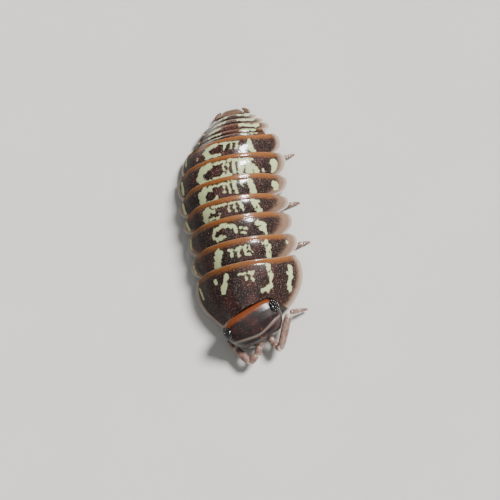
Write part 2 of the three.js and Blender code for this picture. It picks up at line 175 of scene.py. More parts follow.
# Pale marks on each plate, drawn as points (from the crest towards the left side, forward of the
# hind rim) that a round brush of the given radius runs through; dark marks are cut out of the pale ones
PALE = {
    1: [
        ([(-0.15, 0.53), (0.15, 0.58), (0.5, 0.54)], 0.05), ([(0.12, 0.55), (0.13, 0.82)], 0.055),
        ([(0.37, 0.55), (0.42, 0.9)], 0.06), ([(-0.76, 0.44), (-0.9, 0.75)], 0.11),
        ([(-0.9, 0.75), (-1.1, 1.1)], 0.13), ([(-1.45, 0.55), (-1.42, 0.6)], 0.1),
        ([(1.24, 0.34), (1.26, 0.7)], 0.13), ([(1.26, 0.7), (1.2, 1.2)], 0.07),
        ([(1.2, 1.25), (0.95, 1.42), (0.75, 1.44)], 0.12), ([(2.55, 0.55), (2.5, 0.95)], 0.15),
        ([(2.5, 0.95), (2.3, 1.3), (2.4, 1.6)], 0.13), ([(2.4, 0.85), (2.28, 0.75)], 0.06),
        ([(-3.05, 0.45), (-2.85, 0.95)], 0.1),
    ],
    2: [
        ([(-0.88, 0.46), (-1.0, 0.6), (-1.12, 0.95)], 0.19),
        ([(-0.4, 0.45), (-0.1, 0.5), (0.1, 0.42), (0.45, 0.4)], 0.05),
        ([(-0.25, 0.5), (-0.3, 0.75)], 0.06), ([(0.05, 0.45), (0.0, 0.8)], 0.055),
        ([(0.3, 0.42), (0.35, 0.75), (0.55, 0.85)], 0.06), ([(0.55, 0.45), (0.6, 0.7)], 0.05),
        ([(1.38, 0.35), (1.42, 0.62), (1.38, 0.95)], 0.13), ([(1.2, 0.4), (1.55, 0.45)], 0.06),
        ([(2.7, 0.42), (2.78, 0.5)], 0.06), ([(-3.3, 0.5), (-3.2, 0.8)], 0.09),
    ],
    3: [
        ([(-0.45, 0.85), (-0.85, 0.9), (-1.0, 0.7), (-0.85, 0.45), (-0.35, 0.36), (0.05, 0.5),
          (0.12, 0.75)], 0.085),
        ([(0.35, 0.6), (0.6, 0.7)], 0.05), ([(0.3, 0.85), (0.5, 0.85)], 0.05),
        ([(1.18, 0.5), (1.45, 0.6), (1.3, 0.75)], 0.12), ([(1.42, 0.75), (1.48, 1.0)], 0.08),
        ([(-3.2, 0.4), (-3.2, 0.75)], 0.1),
    ],
    4: [
        ([(-1.0, 0.42), (-1.2, 0.52), (-1.25, 0.74)], 0.17), ([(-0.95, 0.4), (-0.72, 0.5)], 0.08),
        ([(-0.75, 0.32), (-0.1, 0.34), (0.5, 0.34)], 0.05),
        ([(-1.05, 0.84), (-0.55, 0.82), (-0.45, 0.7)], 0.06), ([(0.02, 0.35), (0.0, 0.66)], 0.05),
        ([(0.27, 0.35), (0.3, 0.7)], 0.045), ([(0.5, 0.36), (0.62, 0.72)], 0.06),
        ([(1.18, 0.42), (1.28, 0.6), (1.38, 0.78)], 0.14), ([(1.1, 0.36), (1.5, 0.42)], 0.06),
        ([(-3.1, 0.35), (-3.05, 0.7)], 0.13),
    ],
    5: [
        ([(-1.0, 0.42), (-1.22, 0.55), (-1.2, 0.85)], 0.18), ([(-0.95, 0.38), (-0.7, 0.46)], 0.09),
        ([(-0.75, 0.33), (0, 0.34), (0.5, 0.34)], 0.055),
        ([(-1.1, 0.98), (-0.5, 0.94), (-0.42, 0.82)], 0.065), ([(-0.05, 0.35), (-0.02, 0.7)], 0.05),
        ([(0.18, 0.35), (0.2, 0.75)], 0.045), ([(0.42, 0.36), (0.5, 0.8)], 0.08),
        ([(0.75, 0.4), (0.82, 0.6)], 0.05), ([(1.15, 0.4), (1.25, 0.65), (1.3, 0.9)], 0.15),
        ([(2.55, 0.5), (2.8, 0.62), (2.75, 0.78)], 0.16), ([(-3.1, 0.4), (-3.05, 0.8)], 0.14),
    ],
    6: [
        ([(-0.7, 0.38), (-1.1, 0.5), (-1.24, 0.75), (-1.05, 1.0)], 0.17),
        ([(-1.0, 1.06), (-0.3, 1.02), (0.3, 1.0)], 0.07), ([(-0.7, 0.33), (0.4, 0.34), (1.3, 0.4)], 0.06),
        ([(0.0, 0.4), (0.0, 0.95)], 0.05), ([(0.2, 0.4), (0.22, 0.95)], 0.05),
        ([(0.45, 0.4), (0.5, 0.95)], 0.07), ([(0.75, 0.4), (0.8, 0.9)], 0.13),
        ([(1.1, 0.45), (1.2, 0.95)], 0.17), ([(1.35, 0.7), (1.6, 0.95)], 0.12),
        ([(1.9, 0.85), (1.96, 0.95)], 0.06), ([(2.55, 0.5), (2.75, 0.62), (2.65, 0.85)], 0.19),
        ([(-2.95, 0.45), (-2.9, 0.85)], 0.14),
    ],
    7: [
        ([(-0.45, 0.32), (-0.8, 0.4), (-0.95, 0.56), (-0.8, 0.8)], 0.13),
        ([(-0.8, 0.85), (-0.2, 0.85)], 0.06), ([(-0.4, 0.3), (0.3, 0.34), (0.6, 0.36)], 0.05),
        ([(0, 0.36), (-0.02, 0.75)], 0.035), ([(0.3, 0.36), (0.32, 0.7)], 0.035),
        ([(0.55, 0.36), (0.55, 0.7)], 0.04), ([(1.1, 0.4), (1.2, 0.65), (1.4, 0.85)], 0.13),
        ([(-1.4, 0.7), (-1.41, 0.72)], 0.07), ([(-2.7, 0.4), (-2.6, 0.7)], 0.09),
    ],
    8: [([(-0.9, 0.1), (-0.3, 0.1)], 0.05), ([(0.7, 0.1), (1.4, 0.1)], 0.05)],
    9: [([(-1.0, 0.1), (-0.4, 0.1)], 0.05), ([(0.6, 0.1), (1.3, 0.1)], 0.05)],
    10: [([(-1.1, 0.15), (-0.4, 0.15)], 0.07), ([(0.5, 0.15), (1.4, 0.18)], 0.09)],
    11: [([(-0.8, 0.15), (-0.3, 0.15)], 0.07), ([(0.4, 0.15), (1.2, 0.15)], 0.08)],
    12: [([(-0.6, 0.12), (-0.2, 0.12)], 0.06), ([(0.3, 0.12), (0.9, 0.12)], 0.07)],
}
DARK = {
    1: [([(1.24, 0.62), (1.24, 0.64)], 0.035)],
    2: [([(1.4, 0.5), (1.4, 0.52)], 0.035), ([(1.42, 0.78), (1.42, 0.8)], 0.03)],
    4: [([(1.28, 0.62), (1.28, 0.64)], 0.04)],
    6: [([(-0.55, 0.62), (-0.4, 0.78)], 0.12), ([(0.98, 0.6), (1.0, 0.62)], 0.03)],
}
FAR = 9.0
# How far in from the side tips each plate's horn is clear, and the share of it on the right side, kept
# narrower there as painted shade on the side away from the light
CLEAR_WIDTH = {1: 0.7, 2: 1.35, 3: 1.5, 4: 1.4, 5: 1.15, 6: 0.8, 7: 0.6, 10: 0.8, 11: 0.7, 12: 0.6}
OTHER_CLEAR_WIDTH = 0.3
SHADED_SIDE_CLEAR_SHARE = 0.6
# The polish of the back fades between these distances from the crest
SHINE_FADE = (0.8, 1.7)
# The tail's rust bands are narrower by this much
TAIL_BAND_SHIFT = 0.14


def brush_distance(strokes, across, back):
    """Signed distance in millimetres to the nearest stroke, below 0 inside it."""
    best = np.full(across.shape, FAR)
    for points, radius in strokes:
        for (x0, y0), (x1, y1) in zip(points, points[1:]):
            dx, dy = x1 - x0, y1 - y0
            along = np.clip(((across - x0) * dx + (back - y0) * dy) / (dx * dx + dy * dy), 0, 1)
            best = np.minimum(best, np.hypot(across - x0 - along * dx, back - y0 - along * dy) - radius)
    return best


def make_piece(name, points, faces, finish, node=None, fields=None):
    """A smooth-shaded piece on the body, which stands for a solid of the part where one is named.

    The fields are values at its points, which its material reads.
    """
    mesh = bpy.data.meshes.new(name)
    mesh.from_pydata([tuple(p) for p in np.asarray(points) * MM], [], [tuple(map(int, f)) for f in faces])
    for key, values in (fields or {}).items():
        layer = mesh.attributes.new(key, "FLOAT", "POINT")
        layer.data.foreach_set("value", np.asarray(values, np.float32).ravel())
    mesh.polygons.foreach_set("use_smooth", [True] * len(mesh.polygons))
    mesh.materials.append(finish_named(finish))
    mesh.update()
    piece = bpy.data.objects.new(name, mesh)
    bpy.context.scene.collection.objects.link(piece)
    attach(piece, "root")
    if node:
        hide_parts(node)
    return piece


def grid_faces(rows, columns, offset=0, flip=False):
    faces = []
    for r in range(rows - 1):
        for c in range(columns - 1):
            a = offset + r * columns + c
            quad = (a, a + 1, a + columns + 1, a + columns)
            faces.append(quad[::-1] if flip else quad)
    return faces


def grid_normals(grid):
    """Unit normals of a grid of points, upwards at its middle."""
    normal = np.cross(np.gradient(grid, axis=1), np.gradient(grid, axis=0))
    normal /= np.maximum(np.linalg.norm(normal, axis=2, keepdims=True), 1e-12)
    return -normal if normal[grid.shape[0] // 2, grid.shape[1] // 2, 2] < 0 else normal


def wrapped_faces(rings, sides):
    """Faces over rings of points, closed by the two points after them: the first ring's, then the last's."""
    faces = []
    for r in range(rings - 1):
        for k in range(sides):
            a, b = r * sides + k, r * sides + (k + 1) % sides
            faces.append((a, b, b + sides, a + sides))
    first, last, base = rings * sides, rings * sides + 1, (rings - 1) * sides
    for k in range(sides):
        faces.append((first, (k + 1) % sides, k))
        faces.append((last, base + k, base + (k + 1) % sides))
    return faces


def shell(grid, thickness):
    """Points and faces of a closed thin shell: the outer grid, an inner one, and the edge between them."""
    rows, columns, _ = grid.shape
    inner = grid - grid_normals(grid) * thickness
    points = np.concatenate([grid.reshape(-1, 3), inner.reshape(-1, 3)])
    half = rows * columns
    faces = grid_faces(rows, columns) + grid_faces(rows, columns, half, flip=True)
    border = [(0, c) for c in range(columns)] + [(r, columns - 1) for r in range(1, rows)]
    border += [(rows - 1, c) for c in range(columns - 2, -1, -1)] + [(r, 0) for r in range(rows - 2, 0, -1)]
    ring = [r * columns + c for r, c in border]
    for a, b in zip(ring, ring[1:] + ring[:1]):
        faces.append((b, a, a + half, b + half))
    return points, faces


ACROSS_STEPS = 250
ALONG_STEPS = 40
SHELL_THICK = 0.075
# How far a plate reaches past its hoop, and how far in front of its start it begins
RIM_OVERHANG = 0.07
FRONT_TUCK = 0.1
PLATE_BOW = 0.045
# Lip along the hind rim and along the side tips: rise, where it starts, where it is full, turn down
HIND_LIP = (0.014, 0.16, 0.06, 0.05)
TIP_LIP = (0.016, 0.14, 0.05, 0.03)
TURN_WIDTH = 0.05
GROOVE_DEPTH, GROOVE_PLACE, GROOVE_HALF = 0.012, 0.2, 0.06
TAIL_LIP_SHARE = 0.5


def plate_grid(number):
    """Outer face of a plate as rows from its tucked front to its hind rim, with distances over it."""
    front, back = HOOPS[NAMES[number - 1]], HOOPS[NAMES[number]]
    length = front[0] - back[0]
    across_steps = ACROSS_STEPS if number <= TRUNK_PLATES else ACROSS_STEPS * 3 // 4
    along_steps = ALONG_STEPS if number <= TRUNK_PLATES else ALONG_STEPS // 2
    if number == 1:
        along_steps *= 2
    share = np.linspace(-1, 1, across_steps + 1)
    start = 0 if number == 1 else -FRONT_TUCK / length
    stops = np.linspace(start, 1 + RIM_OVERHANG / length, along_steps + 1)
    rows = []
    for t in stops:
        reach = float(flowing(t, LOBE_STOPS, lobe_of(number)))
        rows.append(hoop_points(number, t, *section(share, reach)))
    grid = np.array(rows)
    step = np.linalg.norm(np.diff(grid, axis=1), axis=2)
    arc = np.concatenate([np.zeros((len(rows), 1)), np.cumsum(step, axis=1)], axis=1)
    middle = across_steps // 2
    arc -= arc[:, middle:middle + 1]
    back_step = np.linalg.norm(np.diff(grid, axis=0), axis=2)
    behind = np.concatenate([np.cumsum(back_step[::-1], axis=0)[::-1], np.zeros((1, across_steps + 1))])
    edge = np.minimum(arc[:, -1:] - arc, arc - arc[:, :1])
    return grid, arc, behind, edge


def lipped(distance, rise, start, full, turn):
    """Height over an edge: a raised lip that turns down at the edge itself."""
    return rise * smooth(distance, start, full) - turn * (1 - smooth(distance, 0, TURN_WIDTH)) ** 2


def rounded_rim(grid, behind, edge, number):
    """Shapes the hind rim and the side tips, and bows the plate's middle out."""
    rim = lipped(behind, *HIND_LIP) - GROOVE_DEPTH * smooth(np.abs(behind - GROOVE_PLACE), GROOVE_HALF, 0.0)
    height = rim * (TAIL_LIP_SHARE if number > TRUNK_PLATES else 1) + lipped(edge, *TIP_LIP)
    if 1 < number <= TRUNK_PLATES:
        height += PLATE_BOW * np.sin(np.linspace(0, math.pi, len(grid)))[:, None]
    return grid + grid_normals(grid) * height[..., None]


def build_plate(number):
    grid, arc, behind, edge = plate_grid(number)
    mark = brush_distance(PALE.get(number, []), arc, behind)
    mark = np.maximum(mark, -brush_distance(DARK.get(number, []), arc, behind))
    # The right side's clear horn is narrower: painted shade on the side away from the flash
    width = CLEAR_WIDTH.get(number, OTHER_CLEAR_WIDTH) * np.where(arc < 0, SHADED_SIDE_CLEAR_SHARE, 1)
    clear = 1 - smooth(edge / width, 0.2, 1)
    grid = rounded_rim(grid, behind, edge, number)
    if lobe_of(number) is LOBES["none"]:
        edge, clear = np.full_like(edge, FAR), np.zeros_like(clear)
    points, faces = shell(grid, SHELL_THICK)
    band = behind + (TAIL_BAND_SHIFT if number > TRUNK_PLATES else 0)
    shine = 1 - smooth(np.abs(arc), *SHINE_FADE)
    fields = {"mark": mark, "behind": band, "edge": edge, "clear": clear, "shine": shine}
    doubled = {key: np.concatenate([values.ravel(), values.ravel()]) for key, values in fields.items()}
    make_piece(f"tergite_{NAMES[number]}", points, faces, "plate", NAMES[number], doubled)


def hex_linear(code):
    """An sRGB hex colour as linear red, green, blue, alpha."""
    channels = [int(code[i:i + 2], 16) / 255 for i in (1, 3, 5)]
    return [c / 12.92 if c <= 0.04045 else ((c + 0.055) / 1.055) ** 2.4 for c in channels] + [1.0]


def feed(tree, node, values):
    """Gives a node's inputs their values: a socket is linked, anything else is a constant."""
    for key, value in values.items():
        if isinstance(value, bpy.types.NodeSocket):
            tree.links.new(value, node.inputs[key])
        else:
            node.inputs[key].default_value = value


def add(tree, kind, settings, values):
    """Adds one node with its settings, and with a link or a constant for its inputs."""
    node = tree.nodes.new(kind)
    for key, value in settings.items():
        setattr(node, key, value)
    feed(tree, node, values)
    return node


def ramp(tree, value, low, high):
    """0 where value is before low, 1 where it is past high, and smooth between; high may be the lower."""
    settings = {"interpolation_type": "SMOOTHSTEP"}
    return add(tree, "ShaderNodeMapRange", settings, {0: value, 1: low, 2: high}).outputs[0]


def blend(tree, factor, first, second):
    """Mixes two colours, each a constant or a socket."""
    return add(tree, "ShaderNodeMix", {"data_type": "RGBA"}, {0: factor, 6: first, 7: second}).outputs[2]


def calculate(tree, operation, first, second):
    """Adds, subtracts or multiplies two values, each a number or a socket."""
    return add(tree, "ShaderNodeMath", {"operation": operation}, {0: first, 1: second}).outputs[0]


def start_material(name):
    """A new material with its shader, and the place on the piece in millimetres."""
    material = bpy.data.materials.new(name)
    material.use_nodes = True
    tree = material.node_tree
    tree.nodes.clear()
    shader = add(tree, "ShaderNodeBsdfPrincipled", {}, {})
    add(tree, "ShaderNodeOutputMaterial", {}, {0: shader.outputs[0]})
    place = add(tree, "ShaderNodeTexCoord", {}, {}).outputs["Object"]
    millimetres = add(tree, "ShaderNodeVectorMath", {"operation": "SCALE"}, {0: place, "Scale": 1 / MM})
    return material, tree, shader, millimetres.outputs[0]


def noise(tree, place, size_mm, detail=2.0, roughness=0.5):
    values = {"Vector": place, "Scale": 1 / size_mm, "Detail": detail, "Roughness": roughness}
    return add(tree, "ShaderNodeTexNoise", {}, values).outputs["Fac"]


def granules(tree, place, size_mm):
    """Distance from the middle of the nearest granule."""
    values = {"Vector": place, "Scale": 1 / size_mm}
    return add(tree, "ShaderNodeTexVoronoi", {"feature": "SMOOTH_F1"}, values).outputs["Distance"]


def wobble_of(tree, place):
    """Uneven shift, either way, that roughens the edges of marks and bands."""
    return calculate(tree, "SUBTRACT", noise(tree, place, WOBBLE_MM, 3.0), 0.5)


def relief(tree, height, strength, depth_mm):
    values = {"Height": height, "Strength": strength, "Distance": depth_mm * MM}
    return add(tree, "ShaderNodeBump", {}, values).outputs[0]


def attribute(tree, name):
    return add(tree, "ShaderNodeAttribute", {"attribute_name": name}, {}).outputs["Fac"]


def inner_light(weight, radius, scale_mm):
    """Shader inputs for light that spreads a little way inside the skin, reddest farthest."""
    return {"Subsurface Weight": weight, "Subsurface Radius": radius, "Subsurface Scale": scale_mm * MM}


# Sizes in millimetres of the patterns in the skin; the granules are a little coarser than life, to show
WOBBLE_MM = 0.16
MOTTLE_MM = 0.07
PLATE_GRANULE_MM = 0.06
HEAD_GRANULE_MM = 0.055


def plate_material(colours):
    """Calcified cuticle: hard, waxy, finely granular; dark brown pigment seen through a clear skin."""
    material, tree, shader, place = start_material("calcified_cuticle_patterned")
    mark, behind = attribute(tree, "mark"), attribute(tree, "behind")
    edge, clear = attribute(tree, "edge"), attribute(tree, "clear")
    wobble = wobble_of(tree, place)
    broad = noise(tree, place, 0.9)
    fine = noise(tree, place, MOTTLE_MM)
    # The dark ground shifts between near black and a redder chestnut, with fine paler flecks and a painted
    # glint on the top of each granule
    ground = blend(tree, ramp(tree, broad, 0.42, 0.68), colours.ground, colours.chestnut)
    ground = blend(tree, ramp(tree, fine, 0.56, 0.78), ground, colours.fleck)
    grain = granules(tree, place, PLATE_GRANULE_MM)
    painted_glint = calculate(tree, "MULTIPLY", ramp(tree, grain, 0.3, 0.12), 0.6)
    ground = blend(tree, painted_glint, ground, colours.painted_glint)
    # The rust band before the hind rim has a soft uneven front edge
    shifted = calculate(tree, "ADD", behind, calculate(tree, "MULTIPLY", wobble, 0.12))
    rust = blend(tree, fine, colours.rust, colours.rust_light)
    banded = calculate(tree, "MULTIPLY", ramp(tree, shifted, 0.36, 0.06), ramp(tree, edge, 0.05, 0.7))
    coloured = blend(tree, banded, ground, rust)
    # Pale marks have ragged edges and a greenish-yellow mottle
    ragged = calculate(tree, "ADD", mark, calculate(tree, "MULTIPLY", wobble, 0.3))
    pale = blend(tree, fine, colours.pale, colours.pale_light)
    coloured = blend(tree, ramp(tree, ragged, 0.025, -0.035), coloured, pale)
    # Towards the side tips the pigment thins out, so that the horn shows as clear light brown
    thin = calculate(tree, "ADD", clear, calculate(tree, "MULTIPLY", wobble, 0.5))
    horn = blend(tree, fine, colours.horn, colours.horn_light)
    off_mark = ramp(tree, ragged, -0.02, 0.03)
    horn = blend(tree, ramp(tree, edge, 0.45, 0.05), horn, colours.horn_pale)
    horn_share = calculate(tree, "MULTIPLY", ramp(tree, thin, 0.0, 0.8), off_mark)
    coloured = blend(tree, horn_share, coloured, horn)
    coloured = blend(tree, ramp(tree, behind, 0.045, 0.015), coloured, colours.clear_rim)
    coloured = blend(tree, ramp(tree, edge, 0.085, 0.035), coloured, colours.pale_rim)
    # The granules catch the light, on the skin and on its coat
    bump = relief(tree, grain, 0.4, 0.012)
    rough = add(tree, "ShaderNodeMapRange", {}, {0: fine, 3: 0.24, 4: 0.42}).outputs[0]
    # The waxy coat is polished along the back and worn dull on the flanks
    shine = attribute(tree, "shine")
    dull = calculate(tree, "MULTIPLY", calculate(tree, "SUBTRACT", 1.0, shine), 0.35)
    feed(tree, shader, {
        "Base Color": coloured, "Normal": bump, "Coat Normal": bump,
        "Roughness": calculate(tree, "ADD", rough, dull), "Coat Weight": shine, "Coat Roughness": 0.12,
        "Coat IOR": 1.5, "Specular IOR Level": 0.22, **inner_light(0.15, (1.0, 0.7, 0.5), 0.12),
    })
    return material


def head_material(colours):
    """The head's cuticle: the same hard skin, nearly black, with a rust band along its hind edge."""
    material, tree, shader, place = start_material("calcified_cuticle_head")
    behind = attribute(tree, "behind")
    wobble = wobble_of(tree, place)
    fine = noise(tree, place, MOTTLE_MM)
    squiggle = noise(tree, place, 0.3, 3.0, 0.7)
    # Nearly black with chestnut clouds, fine flecks and a few rust-coloured squiggles
    broad = noise(tree, place, 0.7)
    ground = blend(tree, ramp(tree, broad, 0.45, 0.7), colours.ground, colours.chestnut)
    ground = blend(tree, ramp(tree, fine, 0.6, 0.8), ground, colours.fleck)
    ground = blend(tree, ramp(tree, squiggle, 0.64, 0.68), ground, colours.rust)
    shifted = calculate(tree, "ADD", behind, calculate(tree, "MULTIPLY", wobble, 0.2))
    coloured = blend(tree, ramp(tree, shifted, 0.4, 0.22), ground, colours.rust)
    # The frontal ridge is paler, as it is thin and catches the light
    ridge = calculate(tree, "MULTIPLY", attribute(tree, "ridge"), 0.3)
    coloured = blend(tree, ridge, coloured, colours.limb_light)
    feed(tree, shader, {
        "Base Color": coloured, "Normal": relief(tree, granules(tree, place, HEAD_GRANULE_MM), 0.35, 0.01),
        "Roughness": 0.4, "Coat Weight": 0.25, "Coat Roughness": 0.25,
        **inner_light(0.15, (1.0, 0.4, 0.2), 0.12),
    })
    return material


def eye_material(colours):
    """Clear lenses over black pigment: wet-looking, with a small bright spot on each facet."""
    material, tree, shader, place = start_material("clear_lens_over_black")
    coloured = blend(tree, noise(tree, place, 0.2), colours.eye, colours.eye_light)
    feed(tree, shader, {
        "Base Color": coloured, "Roughness": 0.12, "Coat Weight": 1.0, "Coat Roughness": 0.04,
    })
    return material


def limb_material(colours):
    """Thin cuticle over flesh: pinkish brown, partly see-through, paler at the joints."""
    material, tree, shader, place = start_material("thin_cuticle_limb")
    patches = ramp(tree, noise(tree, place, 0.18, 3.0), 0.4, 0.65)
    flesh = blend(tree, patches, colours.limb, colours.limb_dark)
    coloured = blend(tree, attribute(tree, "joint"), flesh, colours.limb_light)
    feed(tree, shader, {
        "Base Color": coloured, "Normal": relief(tree, noise(tree, place, 0.05), 0.25, 0.008),
        "Roughness": 0.36, "Coat Weight": 0.3, **inner_light(0.4, (1.0, 0.5, 0.35), 0.15),
    })
    return material


def belly_material(colours):
    """Soft unpigmented cuticle: creamy, slightly wet, faintly clouded."""
    material, tree, shader, place = start_material("soft_cuticle_belly")
    cloud = noise(tree, place, 0.5, 3.0)
    coloured = blend(tree, ramp(tree, cloud, 0.35, 0.7), colours.belly, colours.belly_dark)
    feed(tree, shader, {
        "Base Color": coloured, "Normal": relief(tree, noise(tree, place, 0.08, 3.0), 0.3, 0.01),
        "Roughness": 0.42, **inner_light(0.4, (1.0, 0.6, 0.4), 0.2),
    })
    return material


def floor_material(colours):
    """Matt painted board: pale, even and without gloss."""
    material, tree, shader, place = start_material("matt_painted_board")
    coloured = blend(tree, noise(tree, place, 6.0, 3.0), colours.board, colours.board_light)
    feed(tree, shader, {"Base Color": coloured, "Roughness": 0.85})
    return material


MAKERS = {
    "plate": plate_material, "head": head_material, "eye": eye_material, "limb": limb_material,
    "belly": belly_material, "floor": floor_material,
}
MADE = {}


def finish_named(name):
    """Each finish is made once and shared by the pieces that have it."""
    if name not in MADE:
        MADE[name] = MAKERS[name](bpy.context.scene.woodlouse_colours)
    return MADE[name]


def tube(points, radii, sides=20):
    """A closed round tube through points."""
    points = [np.array(p, float) for p in points]
    turn = np.linspace(0, 2 * math.pi, sides, endpoint=False)
    rings = []
    for i, point in enumerate(points):
        along = points[min(i + 1, len(points) - 1)] - points[max(i - 1, 0)]
        along /= np.linalg.norm(along)
        level = np.cross((0, 0, 1), along)
        level /= max(np.linalg.norm(level), 1e-9)
        rise = np.cross(along, level)
        rings.append(point + (np.outer(np.cos(turn), level) + np.outer(np.sin(turn), rise)) * radii[i])
    vertices = np.concatenate([*rings, [points[0]], [points[-1]]])
    return vertices, wrapped_faces(len(rings), sides)


# Along an article: where its rings are, how round its ends are, and how pale its joints are
ARTICLE_STOPS = np.array([0, 0.015, 0.05, 0.12, 0.3, 0.5, 0.7, 0.86, 0.94, 0.985, 1.0])
ARTICLE_CAPS = np.array([0.35, 0.7, 0.92, 1, 1, 1, 1, 1, 0.93, 0.72, 0.3])
ROOT_PALE, TIP_PALE, BRISTLE_PALE = 0.7, 0.9, 0.6


def article(start, end, thin, thick, bulge=0.12, sides=20):
    """One article of a limb: narrow at its root, swelling towards its far end, closed round at both."""
    start, end = np.array(start, float), np.array(end, float)
    stops = ARTICLE_STOPS
    radii = (thin + (thick - thin) * stops ** 0.8) * ARTICLE_CAPS * (1 + bulge * np.sin(np.pi * stops) ** 2)
    vertices, faces = tube([start + (end - start) * s for s in stops], radii, sides)
    joint = np.interp(stops, (0, 0.1, 0.85, 1), (ROOT_PALE, 0, 0, TIP_PALE))
    return vertices, faces, np.concatenate([np.repeat(joint, sides), [ROOT_PALE, TIP_PALE]])


def bristle(root, tip, radius):
    path = [root, root * 0.45 + tip * 0.55, tip]
    vertices, faces = tube(path, [radius, radius * 0.7, radius * 0.15], 6)
    return vertices, faces, np.full(len(vertices), BRISTLE_PALE)


def join(parts):
    """Joins (points, faces, joint paleness) parts into one."""
    points, faces, joint, offset = [], [], [], 0
    for vertices, part_faces, pale in parts:
        points.append(vertices)
        faces += [tuple(i + offset for i in f) for f in part_faces]
        joint.append(pale)
        offset += len(vertices)
    return np.concatenate(points), faces, np.concatenate(joint)


BRISTLE_RADIUS = 0.012
FEELER_BRISTLES, LEG_BRISTLES = 14, 6


def jointed_limb(name, path, radii, node, rng, hairs):
    """A limb of articles through a path, with a few short bristles on each."""
    parts = []
    for i in range(len(path) - 1):
        start, end = np.array(path[i], float), np.array(path[i + 1], float)
        parts.append(article(start, end, radii[i], radii[i + 1]))
        run = end - start
        length = np.linalg.norm(run)
        for _ in range(hairs):
            share = rng.uniform(0.3, 0.95)
            out = rng.normal(size=3)
            out -= run * (out @ run) / length ** 2
            out /= np.linalg.norm(out)
            radius = radii[i] + (radii[i + 1] - radii[i]) * share
            root = start + run * share + out * radius * 0.85
            tip = root + out * radius * 0.45 + run / length * radius * 0.6
            parts.append(bristle(root, tip, BRISTLE_RADIUS))
    points, faces, joint = join(parts)
    make_piece(name, points + SHIFT, faces, "limb", node, {"joint": joint})


HEAD_TURN = math.radians(19)
HEAD_NECK = np.array([5.02, -0.28, 0.0])
# The head from the neck forwards: distance, half width, top and bottom
HEAD_ROWS = [
    (0, 1.16, 2.12, 0.9), (0.22, 1.34, 2.18, 0.78), (0.5, 1.4, 2.14, 0.68), (0.85, 1.35, 2.02, 0.6),
    (1.15, 1.18, 1.84, 0.56), (1.36, 0.98, 1.68, 0.56), (1.48, 0.74, 1.54, 0.66), (1.5, 0.52, 1.3, 0.8),
]
HEAD_BACK, HEAD_FRONT = (0, 0, 1.5), (1.52, 0, 1.1)
HEAD_RINGS, HEAD_SIDES = 60, 120
HEAD_ROUNDNESS = 0.8
# The frontal ridge: where it is at the middle, how far it runs back at the sides, its height and half width
BROW_PLACE, BROW_CURVE, BROW_RISE, BROW_HALF = 1.28, 0.42, 0.05, 0.07
NO_BAND = 3.0
EYE_PLACE = np.array([0.48, 1.2, 1.8])
EYE_RADII = np.array([0.3, 0.17, 0.27])
EYE_TILT = 0.6
EYE_CORE = 0.94


def head_frame(points):
    """From the head's own frame to the part's: turned to the left about the neck."""
    c, s = math.cos(HEAD_TURN), math.sin(HEAD_TURN)
    turned = np.asarray(points, float) @ np.array([[c, s, 0], [-s, c, 0], [0, 0, 1]])
    return turned + HEAD_NECK + SHIFT


def squarish(value):
    return np.sign(value) * np.abs(value) ** HEAD_ROUNDNESS


def build_head():
    rows = np.array(HEAD_ROWS)
    turn = np.linspace(0, 2 * math.pi, HEAD_SIDES, endpoint=False)
    upper = smooth(np.sin(turn), 0.1, 0.5)
    rings, behind, ridge = [], [], []
    for x in np.linspace(0, rows[-1, 0], HEAD_RINGS):
        half, top, bottom = (np.interp(x, rows[:, 0], rows[:, k]) for k in (1, 2, 3))
        y = half * squarish(np.cos(turn))
        z = bottom + (top - bottom) * (0.5 + 0.5 * squarish(np.sin(turn)))
        off = x - BROW_PLACE + BROW_CURVE * (np.abs(y) / 1.5) ** 1.5
        brow = smooth(np.abs(off), BROW_HALF, 0.0) * upper
        rings.append(np.stack([np.full(HEAD_SIDES, x), y, z + BROW_RISE * brow], -1))
        behind.append(x + NO_BAND * (1 - upper))
        ridge.append(brow)
    points = np.concatenate([*rings, [HEAD_BACK], [HEAD_FRONT]])
    faces = wrapped_faces(HEAD_RINGS, HEAD_SIDES)
    fields = {"behind": np.concatenate([*behind, [0, NO_BAND]]), "ridge": np.concatenate([*ridge, [0, 0]])}
    piece = make_piece("head_capsule", head_frame(points), faces, "head", "head", fields)
    smoothing = piece.modifiers.new("even_surface", "SMOOTH")
    smoothing.factor = 0.5
    smoothing.iterations = 6


def unit_ball(columns, rows):
    angle = 2 * math.pi * np.arange(columns) / columns
    points, faces = [], []
    for polar in math.pi * np.arange(rows + 1) / rows:
        level = np.full(columns, math.cos(polar))
        points.append(np.stack([math.sin(polar) * np.cos(angle), math.sin(polar) * np.sin(angle), level], -1))
    for r in range(rows):
        for c in range(columns):
            a, b = r * columns + c, r * columns + (c + 1) % columns
            faces.append((a, a + columns, b + columns, b))
    return np.concatenate(points), faces


# The eye's facets: how many in each row from below, how far apart, and how large
FACET_ROWS = (4, 5, 6, 5, 3)
FACET_SPACING = 0.11
FACET_RADIUS = 0.052


def build_eye(side, label):
    """A dark core set with rows of small round facets, leaning outwards."""
    ball, ball_faces = unit_ball(32, 20)
    tilt = side * EYE_TILT
    lean = np.array([[1, 0, 0], [0, math.cos(tilt), math.sin(tilt)], [0, -math.sin(tilt), math.cos(tilt)]])
    centre = EYE_PLACE * (1, side, 1)
    parts = [(ball * EYE_RADII * EYE_CORE, ball_faces, np.zeros(len(ball)))]
    small, small_faces = unit_ball(12, 8)
    for r, count in enumerate(FACET_ROWS):
        up = (r - (len(FACET_ROWS) - 1) / 2) * FACET_SPACING * 0.9
        for c in range(count):
            along = (c - (count - 1) / 2) * FACET_SPACING
            off = 1 - (along / EYE_RADII[0]) ** 2 - (up / EYE_RADII[2]) ** 2
            if off <= 0.04:
                continue
            seat = np.array([along, side * EYE_RADII[1] * math.sqrt(off) * EYE_CORE, up])
            parts.append((small * FACET_RADIUS + seat, small_faces, np.zeros(len(small))))
    points, faces, _ = join(parts)
    points = head_frame(points @ lean + centre)
    make_piece(f"eye_facets_{label}", points, faces, "eye", f"eye_{label}")


